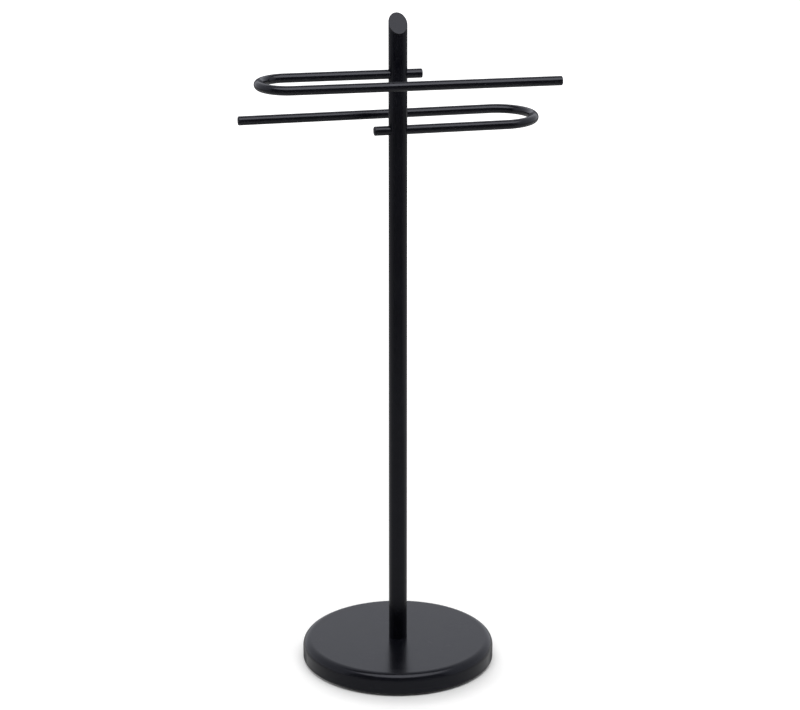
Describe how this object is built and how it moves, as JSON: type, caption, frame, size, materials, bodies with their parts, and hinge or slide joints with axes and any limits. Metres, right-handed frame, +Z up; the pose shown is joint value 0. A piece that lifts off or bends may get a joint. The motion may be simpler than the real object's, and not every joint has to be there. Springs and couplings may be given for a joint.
{
  "type": "freestanding towel stand",
  "caption": "Freestanding towel stand with a weighted round base, a slant-topped post and two U-shaped rails that together form an S seen from above.",
  "frame": {"origin": "on the floor, on the centre line of the post", "axes": "+Z up along the post; X along the rails, seen from the front with the upper rail's bend at -X; -Y towards the front, which the slanted top of the post faces"},
  "size_m": [0.4088, 0.27, 0.9279],
  "materials": {
    "powder_coat": "satin",
    "cast_filling": "matte",
    "zinc_plate": "satin",
    "ring_rubber": "matte",
    "plain_steel": "satin",
    "blackened_steel": "satin",
    "zinc_fixing": "satin"
  },
  "bodies": {
    "root": {"base_cover": "powder_coat", "base_weight": "cast_filling", "base_bottom_plate": "zinc_plate", "non_slip_ring": "ring_rubber", "post_seat_plate": "zinc_plate", "post_tube": "powder_coat", "post_top_cap": "powder_coat", "post_foot_plug": "plain_steel", "upper_rail": "powder_coat", "lower_rail": "powder_coat", "rail_set_screws": "blackened_steel", "base_bolt": "zinc_fixing", "base_flat_washer": "zinc_fixing", "base_spring_washer": "zinc_fixing"}
  },
  "joints": []
}
